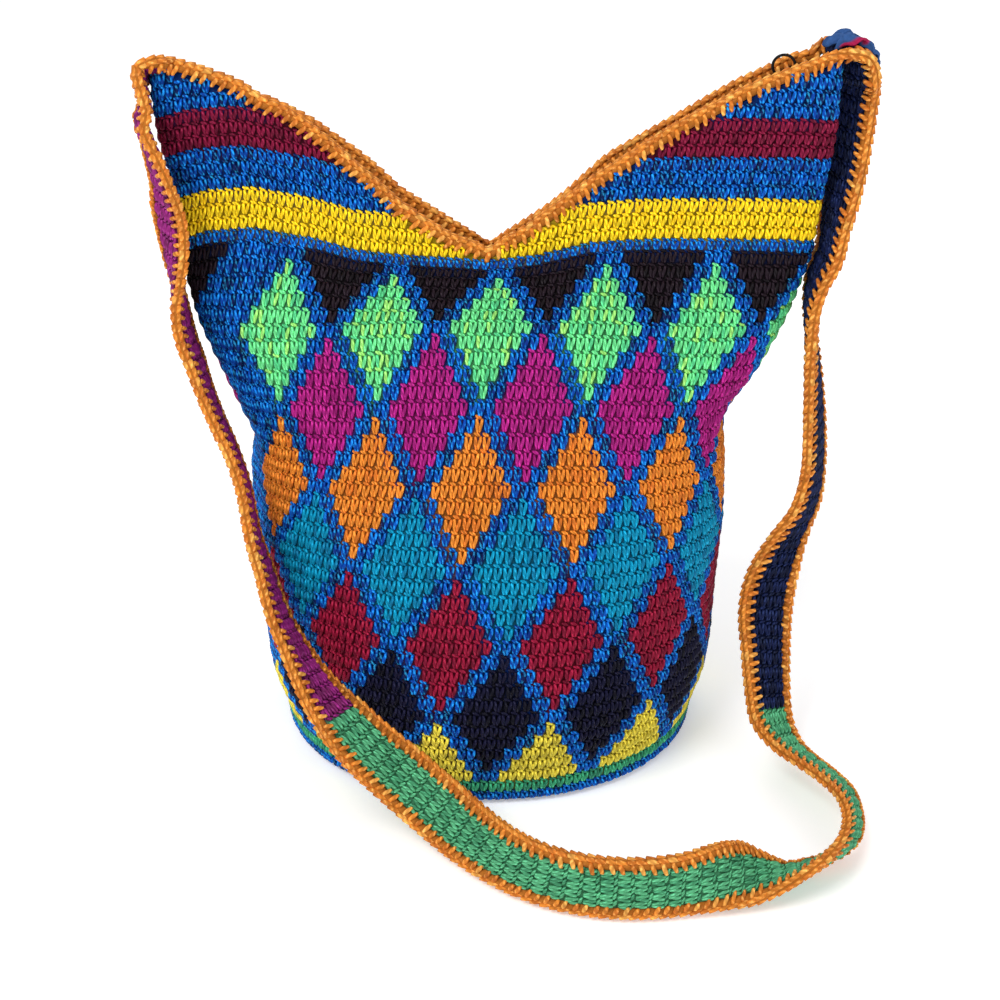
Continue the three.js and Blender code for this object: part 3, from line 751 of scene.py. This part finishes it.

# %% [markdown]
# The strap is a band of short rows, about 35 mm wide with its borders. It hangs from the left peak, leans on
# the wall, lies in a loop on the table and climbs to the right peak. Its route is a list of points, each with
# the direction from the band's middle to its front edge.

# %% Strap route
BAND_WIDTH = 18.7
BAND_THICKNESS = 4.5
BORDER_WIDTH = 7.5
BORDER_THICKNESS = 5.5
BORDER_GAP = 0.9
HALF_REACH = (BAND_WIDTH + BORDER_WIDTH) / 2 + BORDER_GAP
STRAP_CLEARANCE = 1.2
STATIONS_PER_POINT = 1.5
FREE_STATIONS = 10
STRAP_ROUTE = np.array([
    (-155.8, -12.2, 356.4, 0, -0.87, 0.5),
    (-156.5, -12.2, 359, 0, -0.87, 0.5),
    (-158.8, -12.3, 360.8, 0, -0.87, 0.5),
    (-161.8, -12.8, 359.3, 0, -0.87, 0.48),
    (-163, -13.4, 354.8, 0.05, -0.89, 0.44),
    (-161, -17, 348, 0.12, -0.94, 0.32),
    (-158, -24, 339.5, 0.2, -0.97, 0.16),
    (-154, -29, 327, 0.28, -0.96, 0.05),
    (-149.5, -29, 315, 0.38, -0.92, 0),
    (-146, -28.5, 301, 0.46, -0.89, 0),
    (-144, -28.5, 287, 0.56, -0.83, 0),
    (-142.5, -30.5, 274, 0.48, -0.88, 0),
    (-144.5, -32.5, 261, 0.3, -0.95, 0.08),
    (-148.5, -34, 248, 0.06, -0.98, 0.15),
    (-149, -38, 234, -0.04, -0.97, 0.2),
    (-144, -42, 220, -0.04, -0.96, 0.26),
    (-138, -48, 205, 0, -0.95, 0.3),
    (-131, -54, 190, 0.02, -0.94, 0.32),
    (-124, -60, 176, 0.04, -0.94, 0.34),
    (-119, -67, 160, 0.02, -0.93, 0.37),
    (-116, -74, 142, 0, -0.92, 0.38),
    (-111, -81, 125, -0.08, -0.91, 0.41),
    (-105, -88, 109, -0.15, -0.89, 0.43),
    (-97, -101, 94, -0.25, -0.88, 0.4),
    (-88, -114, 76, -0.45, -0.85, 0.25),
    (-77, -120, 59, -0.6, -0.79, -0.05),
    (-64, -124, 41, -0.64, -0.72, -0.27),
    (-49, -126, 23, -0.61, -0.62, -0.48),
    (-32, -133, 10, -0.57, -0.4, -0.72),
    (-16, -146, 5, -0.5, -0.2, -0.84),
    (0, -161, 4, -0.4, -0.1, -0.91),
    (23, -176, 4, -0.2, -0.08, -0.97),
    (47, -184, 4, -0.05, -0.1, -0.99),
    (68, -186, 4, 0, -0.1, -0.99),
    (90, -184, 4, 0, -0.15, -0.98),
    (106, -182, 5, 0, -0.4, -0.92),
    (118, -181, 6, 0, -0.8, -0.6),
    (129, -179.5, 9, 0, -0.99, -0.1),
    (142, -176, 14, -0.08, -0.92, 0.38),
    (155, -170, 20, -0.2, -0.81, 0.55),
    (167, -158, 24, -0.38, -0.72, 0.58),
    (173, -138, 25, -0.37, -0.69, 0.62),
    (170, -116, 24, -0.4, -0.75, 0.53),
    (158, -96, 23, -0.36, -0.8, 0.48),
    (145, -80, 24, -0.52, -0.74, 0.42),
    (136.5, -67, 29, -0.69, -0.64, 0.33),
    (134, -57, 40, -0.74, -0.58, 0.33),
    (132, -48, 58, -0.8, -0.5, 0.33),
    (130, -41, 82, -0.87, -0.4, 0.27),
    (133, -38, 99, -0.86, -0.46, 0.22),
    (141, -36, 116, -0.72, -0.65, 0.24),
    (153, -34, 134, -0.55, -0.82, 0.18),
    (158, -31, 152, -0.42, -0.9, 0.12),
    (158, -30, 176, -0.36, -0.93, 0.06),
    (157, -28, 203, -0.25, -0.97, 0.02),
    (157, -26, 226, -0.08, -0.99, 0),
    (158.5, -24, 245, 0.04, -1, 0),
    (165, -22, 265, 0.18, -0.98, 0),
    (171.5, -17, 286, 0.36, -0.93, 0),
    (176.5, -12, 304, 0.52, -0.85, 0),
    (179, -8.5, 320, 0.6, -0.8, 0),
    (180.5, -6.5, 337, 0.62, -0.78, 0),
    (180.5, -7.5, 348, 0.55, -0.83, 0.03),
    (178.7, -9.5, 357, 0.45, -0.89, 0.06),
    (175.4, -11.5, 362.3, 0.35, -0.93, 0.1),
    (171.2, -12.8, 364.2, 0.3, -0.95, 0.1),
    (168.2, -13.3, 363, 0.3, -0.95, 0.1),
    (166.9, -13.4, 360.7, 0.3, -0.95, 0.1),
    (166.9, -13.4, 359.1, 0.3, -0.95, 0.1),
])


def spline(points, share):
    """A smooth curve through points, walked from 0 to 1, with tight bends where the points are close."""
    points = np.vstack([2 * points[0] - points[1], points, 2 * points[-1] - points[-2]])
    spans = len(points) - 3
    at = np.clip(np.asarray(share) * spans, 0, spans - 1e-9)
    k = np.floor(at).astype(int)
    t = (at - k)[:, None]
    p0, p1, p2, p3 = (points[k + j] for j in range(4))
    spans = ((p0, p1), (p1, p2), (p2, p3))
    d0, d1, d2 = (np.sqrt(np.linalg.norm(b - a, axis=1, keepdims=True)) for a, b in spans)
    d0, d1, d2 = (np.maximum(d, 1e-4) for d in (d0, d1, d2))
    m1 = ((p1 - p0) / d0 - (p2 - p0) / (d0 + d1) + (p2 - p1) / d1) * d1
    m2 = ((p2 - p1) / d1 - (p3 - p1) / (d1 + d2) + (p3 - p2) / d2) * d1
    return (
        p1 + m1 * t + (3 * (p2 - p1) - 2 * m1 - m2) * t ** 2 + (2 * (p1 - p2) + m1 + m2) * t ** 3
    )


def unit(vectors):
    return vectors / np.linalg.norm(vectors, axis=-1, keepdims=True)


DENSE_ROWS = np.linspace(0, TOP_ROW, 521)
DENSE_VALUES = np.array([[listed_value(row, kind) for kind in range(1, 7)] for row in DENSE_ROWS])


def outside_wall(point):
    """The direction away from the wall and the distance to it, for one point beside the purse."""
    side = 2 if point[0] > 0 else 3
    half_widths = DENSE_VALUES[:, side]
    rise = np.minimum((point[0] / half_widths) ** 2, 1)
    heights = DENSE_VALUES[:, 1] + (DENSE_VALUES[:, 0] - DENSE_VALUES[:, 1]) * rise
    k = min(np.searchsorted(heights, point[2]), len(heights) - 1)
    a, b, square = half_widths[k], DENSE_VALUES[k, 4], DENSE_VALUES[k, 5]
    reach = (abs(point[0] / a) ** square + abs(point[1] / b) ** square) ** (1 / square)
    outwards = unit(np.array([point[0] / a ** 2, point[1] / b ** 2, 0]))
    radial = unit(np.array([point[0], point[1], 0]))
    distance = (reach - 1) * math.hypot(point[0], point[1]) / max(reach, 0.01)
    return outwards, distance * abs(outwards @ radial)


def strap_stations():
    """Middles and leans along the strap, kept out of the wall and above the table."""
    leans = unit(STRAP_ROUTE[:, 3:])
    middles = STRAP_ROUTE[:, :3] - leans * HALF_REACH
    count = round(len(STRAP_ROUTE) * STATIONS_PER_POINT)
    shares = np.arange(count + 1) / count
    middles = spline(middles, shares)
    leans = unit(spline(leans, shares))
    edge = HALF_REACH + BORDER_WIDTH / 2
    half_thickness = BORDER_THICKNESS / 2
    for i in range(count + 1):
        for _ in range(3 if FREE_STATIONS <= i <= count - FREE_STATIONS else 0):
            for reach in (-edge, -edge / 2, 0, edge / 2, edge):
                outwards, distance = outside_wall(middles[i] + leans[i] * reach)
                missing = STRAP_CLEARANCE + half_thickness - distance
                middles[i] += outwards * max(missing, 0)
        lean_z = leans[i, 2]
        lowest = middles[i, 2] - abs(lean_z) * edge - math.sqrt(1 - lean_z ** 2) * half_thickness
        middles[i, 2] -= min(lowest, 0)
    return middles, leans


station_middles, station_leans = strap_stations()


class Path:
    """A line through stations that can be read at any length along it."""

    def __init__(self, middles, leans, closed=False):
        if closed:
            middles = np.vstack([middles, middles[:1]])
            leans = np.vstack([leans, leans[:1]])
        shares = np.linspace(0, 1, 12 * len(middles))
        self.points = spline(middles, shares)
        self.leans = unit(spline(leans, shares))
        steps = np.linalg.norm(np.diff(self.points, axis=0), axis=1)
        self.lengths = np.concatenate(([0], np.cumsum(steps)))
        self.length = self.lengths[-1]
        self.closed = closed
        self.along = unit(np.gradient(self.points, axis=0))
        self.through = unit(np.cross(self.along, self.leans))

    def read(self, table, length):
        at = np.mod(length, self.length) if self.closed else np.clip(length, 0, self.length)
        return np.stack([np.interp(at, self.lengths, table[:, k]) for k in range(3)], axis=-1)

    def place(self, length, across, out):
        """A point at a length along the path, moved across it along the lean and out of its face."""
        point = self.read(self.points, length)
        point = point + self.read(self.leans, length) * np.asarray(across)[..., None]
        return point + self.read(self.through, length) * np.asarray(out)[..., None]


strap_path = Path(station_middles, station_leans)
print("strap length", round(strap_path.length), "mm")

# %% [markdown]
# The band changes yarn twice: magenta down the left, green across the table, and navy up the right. Stitches
# lie on both faces, in rows across the band.

# %% Strap stitches
STRAP_ROW = 7.9
STRAP_ACROSS = 5
STITCH_OVERHANG = 1.6
STITCH_DEPTH = 0.9
CORE_OVERHANG = 0.6
GREEN_FROM = 24.7
NAVY_FROM = 45.6


def strap_length_at(route_point):
    """The length along the strap at a point of its route, counted from its start."""
    share = route_point / (len(STRAP_ROUTE) - 1)
    return strap_path.lengths[round(share * (len(strap_path.lengths) - 1))]


green_start = strap_length_at(GREEN_FROM)
navy_start = strap_length_at(NAVY_FROM)


def strap_yarn_number(length):
    """The number of the yarn at a length along the strap."""
    if length < green_start:
        return YARN_NAMES.index("strap_magenta")
    return YARN_NAMES.index("strap_green" if length < navy_start else "strap_navy")


def add_strap_stitches(name, face):
    """All stitches on one face of the band."""
    rows = round(strap_path.length / STRAP_ROW)
    pitch = strap_path.length / rows
    width = (BAND_WIDTH + STITCH_OVERHANG) / STRAP_ACROSS
    length = np.repeat((np.arange(rows) + 0.5) * pitch, STRAP_ACROSS)
    across = np.tile((np.arange(STRAP_ACROSS) - (STRAP_ACROSS - 1) / 2) * width, rows)
    length = length + rng.normal(0, 0.25, len(length))
    across = across + rng.normal(0, 0.15, len(length))
    numbers = np.array([strap_yarn_number(value) for value in length])

    def place(corners):
        s = length[:, None] + corners[None, :, 2]
        u = across[:, None] + corners[None, :, 0] * 0.92
        crown = 0.5 * (1 - (2 * u / BAND_WIDTH) ** 2)
        out = BAND_THICKNESS / 2 - STITCH_DEPTH + corners[None, :, 1] + crown
        return strap_path.place(s, u, face * out)

    colours = leg_colours(numbers, len(STITCH))
    return dress(repeat_strands(name, STITCH, place, len(length), colours, strap_yarn), "strap")


strap_faces = [add_strap_stitches("strap_stitches_outer", 1), add_strap_stitches("strap_stitches_inner", -1)]


def closed_bar(rings, is_loop):
    """Faces of a bar through rings of corners, in the order of the rings."""
    count, sides = len(rings), len(rings[0])
    faces = []
    for i in range(count if is_loop else count - 1):
        j = (i + 1) % count
        for s in range(sides):
            t = (s + 1) % sides
            faces.append([i * sides + s, i * sides + t, j * sides + t, j * sides + s])
    if not is_loop:
        faces.append(list(range(sides))[::-1])
        faces.append([(count - 1) * sides + s for s in range(sides)])
    return faces


def add_core(name, path, outline, yarn_at, shade, material, node):
    """The closed body under a row of stitches, a little smaller than they are; its yarn's colour times shade
    is painted shade for the gaps.
    """
    lengths = np.linspace(0, path.length, round(path.length / 4), endpoint=not path.closed)
    rings = [[(length, u, v) for u, v in outline] for length in lengths]
    flat = np.array(rings).reshape(-1, 3)
    corners = path.place(flat[:, 0], flat[:, 1], flat[:, 2])
    faces = closed_bar(rings, path.closed)
    colours = np.array([(*(srgb(*YARNS[YARN_NAMES[yarn_at(l)]][0][0]) * shade), 1) for l in flat[:, 0]])
    return dress(build_object(name, corners, faces, None, colours, material), node)


half_band = BAND_WIDTH / 2 + CORE_OVERHANG
half_core = BAND_THICKNESS / 2 - STITCH_DEPTH
band_outline = [(u * half_band, v * half_core) for u, v in ((-1, -1), (1, -1), (1, 1), (-1, 1))]
# The band under the strap's stitches: painted shade at half the yarn's colour.
strap_core = add_core("strap_band", strap_path, band_outline, strap_yarn_number, 0.5, ground_yarn,
                      "strap")

# %% [markdown]
# Two orange borders finish every edge. Each is one closed line of stitches: along the mouth and then all the
# way along the strap's edge. A border stitch has a leg over each face of the fabric, and a twisted chain on
# the edge.

# %% Borders
STITCHES_PER_COLUMN = 3
MOUTH_SHARE = 0.9
RIM_DRIFT = COLUMN_DRIFT * (TOP_ROW - DRIFT_MIDDLE_ROW)
SEAT_GAP = 0.3
BRIDGE_RISE = 2.5
BRIDGE_SWING = 2


def rim_middle(place):
    """The middle of the wall's thickness at the rim."""
    row = float(rim_row(np.array(place)))
    return wall_point(np.array([float(place)]), np.array([row]), np.array([-WALL_THICKNESS / 2]))[0]


def border_path(face):
    """The border's line: the mouth from left peak to right peak, then the strap's edge back to the left."""
    middle = 0 if face < 0 else STITCHES_AROUND / 2
    reach = MOUTH_SHARE * STITCHES_AROUND / 4
    places = np.arange(middle - reach, middle + reach + 0.1, STITCHES_PER_COLUMN * 0.75)
    rim = np.array([rim_middle(place) for place in places])
    if face > 0:
        rim = rim[::-1]
    along = unit(np.gradient(rim, axis=0))
    up = unit(np.array([0, 0, 1]) - along * along[:, 2:])
    rim = rim + up * (BORDER_WIDTH / 2 + SEAT_GAP)
    skipped = math.ceil(3 * STATIONS_PER_POINT)
    strap = slice(skipped, len(station_middles) - skipped)
    sign = 1 if face < 0 else -1
    edge = (station_middles[strap] + station_leans[strap] * HALF_REACH * sign)[::-1]
    lean = (station_leans[strap] * sign)[::-1]

    def bridge(from_point, from_lean, to_point, to_lean):
        shares = np.array([1 / 3, 2 / 3])[:, None]
        points = from_point + (to_point - from_point) * shares
        points[:, 2] += BRIDGE_RISE * np.sin(math.pi * shares[:, 0])
        points[:, 1] += face * BRIDGE_SWING * np.sin(math.pi * shares[:, 0])
        return points, unit(from_lean + (to_lean - from_lean) * shares)

    right_points, right_leans = bridge(rim[-1], up[-1], edge[0], lean[0])
    left_points, left_leans = bridge(edge[-1], lean[-1], rim[0], up[0])
    points = np.vstack([rim, right_points, edge, left_points])
    leans = np.vstack([up, right_leans, lean, left_leans])
    return Path(points, leans, closed=True)


BORDER_PITCH = 4.7
CORE_REACH = 3.0
CORE_SPREAD = 2.0
CORE_DROP = -1.3
edging_number = YARN_NAMES.index("edging")


def border_strands():
    """Strands of one border stitch: x along the edge, y out of the fabric's face, z away from the fabric."""
    strands = []
    for side in (-1, 1):
        spike = Strand(2.7, 1.4, 1.15, foot=-1.0, head=0.8, arch=0.2)
        across, out, up = spike.corners.T
        slope = 2.3 - 0.25 * up
        strands.append(spike.moved(across, side * (out + slope), up - 2.7))
    for side in (-1, 1):
        chain = Strand(3.3, 1.4, 1.35)
        across, out, along = chain.corners.T
        strands.append(chain.moved(along, out + side * (1.25 + 0.14 * along), across + 0.7 + 0.22 * along))
    return strands


def add_border(name, face, node):
    """One border: its stitches and the core that carries them."""
    path = border_path(face)
    count = round(path.length / BORDER_PITCH)
    pitch = path.length / count
    length = (np.arange(count) + 0.5) * pitch + rng.normal(0, 0.3, count)
    reach = rng.normal(0, 0.45, count)
    numbers = np.full(count, edging_number)
    strands = border_strands()

    def place(corners):
        s = length[:, None] + corners[None, :, 0]
        inner = np.where(corners[None, :, 2] < -1, reach[:, None], 0)
        out = np.broadcast_to(corners[None, :, 1], s.shape)
        return path.place(s, corners[None, :, 2] + inner, out)

    colours = leg_colours(numbers, len(strands))
    stitching = repeat_strands(name + "_stitches", strands, place, count, colours, edging_yarn)
    dress(stitching, node)
    angles = np.arange(8) / 8 * 2 * math.pi
    outline = [(CORE_DROP + CORE_REACH * math.cos(a), CORE_SPREAD * math.sin(a)) for a in angles]
    # The border's core: painted shade at 0.6 of the orange.
    add_core(name + "_core", path, outline, lambda _: edging_number, 0.6, ground_yarn, node)
    print(name, count, "stitches over", round(path.length), "mm")


add_border("front_border", -1, "front_edging")
add_border("back_border", 1, "back_edging")

# %% [markdown]
# Two small things show at the right peak: a smooth black cord loop that stands behind the front border, and
# a crumpled scrap of blue cloth that comes out of the mouth and lies over the strap's bend.

# %% Loop and cloth
def plain_material(name, colour, roughness, speckle=0.0, weave=0.0):
    """A material with a stored colour; cloth adds pale specks and a fine weave to it."""
    material = bpy.data.materials.new(name)
    material.use_nodes = True
    tree = material.node_tree
    shader = tree.nodes["Principled BSDF"]
    place = add_node(tree, "TexCoord", output=3)
    speck = add_node(tree, "TexNoise", Vector=place, Scale=700.0, Detail=3.0)
    wash = add_node(tree, "TexNoise", Vector=place, Scale=120.0, Detail=2.0)
    light = 1.0 - speckle + (speck + wash) * speckle
    stored = add_node(tree, "VertexColor", {"layer_name": "yarn_colour"})
    tinted = vector_maths(tree, "MULTIPLY", stored, Vector(colour))
    connect(tree, vector_maths(tree, "SCALE", tinted, light), shader.inputs["Base Color"])
    bump = tree.nodes.new("ShaderNodeBump")
    bump.inputs["Strength"].default_value = weave
    bump.inputs["Distance"].default_value = 0.3 * MM
    connect(tree, speck, bump.inputs["Height"])
    tree.links.new(bump.outputs[0], shader.inputs["Normal"])
    shader.inputs["Roughness"].default_value = roughness
    shader.inputs["Specular IOR Level"].default_value = 0.15
    return material


LOOP_RADIUS = 5.2
LOOP_CORD = 1.4
LOOP_SHARE = 0.8
LOOP_SHOWS = -0.1


def add_black_loop():
    """The cord loop: a ring of rings."""
    column = round((LOOP_SHARE * STITCHES_AROUND / 4 - RIM_DRIFT) / STITCHES_PER_COLUMN) * STITCHES_PER_COLUMN
    place = column
    for _ in range(4):
        place = column_place(column, float(rim_row(np.array(place))))
    rim = rim_middle(place)
    behind = BORDER_THICKNESS / 2 + LOOP_CORD / 2 + SEAT_GAP
    centre = rim + (0, behind, SEAT_GAP + BORDER_WIDTH + LOOP_RADIUS * LOOP_SHOWS)
    rings = []
    for turn in np.arange(48) / 48 * 2 * math.pi:
        outwards = np.array([math.cos(turn), 0, math.sin(turn)])
        angles = np.arange(10) / 10 * 2 * math.pi
        around = [outwards * math.cos(a) + np.array([0, 1, 0]) * math.sin(a) for a in angles]
        rings.append([centre + outwards * LOOP_RADIUS + step * LOOP_CORD / 2 for step in around])
    corners = np.array(rings).reshape(-1, 3)
    faces = outward_faces(corners, closed_bar(rings, True))
    cord = plain_material("black cord", srgb(14, 11, 12), 0.5)
    loop = build_object("cord_loop", corners, faces, None, np.ones((len(corners), 4)), cord)
    return dress(loop, "black_loop")


CLOTH_WIDTH = 17
CLOTH_FROM = 10
CLOTH_TO = 3
CLOTH_THICKNESS = 1.2
CLOTH_FOLD = 1.6
# Each wave's height, how fast it runs along and across the strap, and where it starts
CLOTH_WAVES = ((1, 0.9, 0.45, 0), (0.7, -0.35, 1.15, 1.2), (0.5, 1.9, -0.8, 0))
RED_FROM = 0.42
RED_LENGTH = 6


def end_of_strap_length(stations_before_end):
    """The length along the strap at a station counted from its end."""
    share = 1 - stations_before_end / (len(station_middles) - 1)
    return strap_path.lengths[round(share * (len(strap_path.lengths) - 1))]


def add_cloth():
    """The scrap: a crumpled closed sheet over the bend, with a red patch at one corner."""
    first = end_of_strap_length(CLOTH_FROM)
    last = end_of_strap_length(CLOTH_TO)
    lengths = np.linspace(first, last, 40)
    across = np.linspace(-CLOTH_WIDTH / 2, CLOTH_WIDTH / 2, 30)
    s, u = np.meshgrid(lengths, across, indexing="ij")
    fold = sum(height * np.sin(s * along + u * side + start) for height, along, side, start in CLOTH_WAVES)
    lift = BAND_THICKNESS / 2 + BORDER_GAP + 1.2 + CLOTH_FOLD + CLOTH_FOLD * 0.75 * fold
    ragged = 1.1 * np.sin(u * 1.3 + 0.5)
    outer = strap_path.place(s + ragged, u + 0.8 * np.sin(s * 1.1), lift + CLOTH_THICKNESS / 2)
    inner = strap_path.place(s + ragged, u + 0.8 * np.sin(s * 1.1), lift - CLOTH_THICKNESS / 2)
    rows, columns = s.shape
    corners = np.concatenate([outer.reshape(-1, 3), inner.reshape(-1, 3)])
    number = np.arange(rows * columns).reshape(rows, columns)
    faces = []
    for i in range(rows - 1):
        for j in range(columns - 1):
            quad = [number[i, j], number[i, j + 1], number[i + 1, j + 1], number[i + 1, j]]
            faces.append([int(c) for c in quad])
            faces.append([int(c) + rows * columns for c in quad[::-1]])
    border = list(number[0, :]) + list(number[1:, -1]) + list(number[-1, -2::-1]) + list(number[-2:0:-1, 0])
    for a, b in zip(border, border[1:] + border[:1]):
        faces.append([int(b), int(a), int(a) + rows * columns, int(b) + rows * columns])
    colours = np.ones((len(corners), 4))
    is_red = (u > CLOTH_WIDTH * RED_FROM) & (s > last - RED_LENGTH)
    colours[np.concatenate([is_red.ravel()] * 2), :3] = (13.0, 0.15, 0.3)
    faces = outward_faces(corners, faces)
    denim = plain_material("faded blue cloth", srgb(50, 86, 142), 0.8, speckle=0.8, weave=0.5)
    scrap = build_object("cloth_scrap", corners, faces, None, colours, denim)
    return dress(scrap, "blue_cloth")


add_black_loop()
add_cloth()

# %% [markdown]
# The purse stands on a plain pale floor that keeps its soft shadow.

# %% Floor
FLOOR_DROP = 0.0002
FLOOR_GLOW = 0.3
floor_material = bpy.data.materials.new("floor")
floor_material.use_nodes = True
floor_shader = floor_material.node_tree.nodes["Principled BSDF"]
floor_shader.inputs["Base Color"].default_value = (0.95, 0.95, 0.95, 1)
floor_shader.inputs["Roughness"].default_value = 0.9
floor_shader.inputs["Emission Color"].default_value = (1, 1, 1, 1)
floor_shader.inputs["Emission Strength"].default_value = FLOOR_GLOW
floor_mesh = bmesh.new()
bmesh.ops.create_grid(floor_mesh, x_segments=1, y_segments=1, size=6)
floor_data = bpy.data.meshes.new("floor")
floor_mesh.to_mesh(floor_data)
floor_mesh.free()
floor_data.materials.append(floor_material)
floor = bpy.data.objects.new("floor", floor_data)
floor.location.z = -FLOOR_DROP
bpy.context.scene.collection.objects.link(floor)
